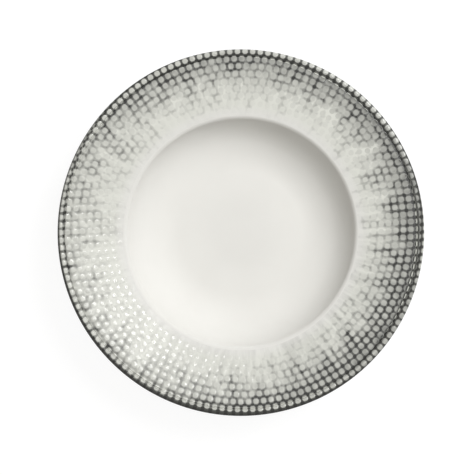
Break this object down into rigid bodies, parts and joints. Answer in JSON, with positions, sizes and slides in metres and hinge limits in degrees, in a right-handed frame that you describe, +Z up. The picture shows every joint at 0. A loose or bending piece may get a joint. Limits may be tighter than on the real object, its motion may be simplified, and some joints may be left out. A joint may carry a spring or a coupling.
{
  "type": "pasta plate",
  "caption": "Round porcelain pasta plate: a deep smooth well, a wide sloping rim covered with rings of small raised dots, a fine groove inside the lip and a bare foot ring.",
  "frame": {"origin": "centre of the foot ring, on the surface that the plate stands on", "axes": "+Z up along the plate's axis of turning, +X to the picture's right, +Y to the picture's top"},
  "size_m": [0.27, 0.27, 0.0384],
  "materials": {
    "porcelain": "bare fired porcelain, matt",
    "white_glaze": "clear gloss glaze over warm white porcelain",
    "grey_glaze": "grey gloss glaze, dark at the edge and fading to white towards the well",
    "dark_glaze": "dark grey gloss glaze",
    "dot_glaze": "thick pale gloss glaze, raised"
  },
  "bodies": {
    "root": {"body": "porcelain", "well_glaze": "white_glaze", "rim_glaze": "grey_glaze", "lip_glaze": "dark_glaze", "back_glaze": "white_glaze", "recess_glaze": "white_glaze", "dot_ring_01": "dot_glaze", "dot_ring_02": "dot_glaze", "dot_ring_03": "dot_glaze", "dot_ring_04": "dot_glaze", "dot_ring_05": "dot_glaze", "dot_ring_06": "dot_glaze", "dot_ring_07": "dot_glaze", "dot_ring_08": "dot_glaze", "dot_ring_09": "dot_glaze", "rim_edge_dots": "dot_glaze", "lip_dots": "dot_glaze"}
  },
  "joints": []
}
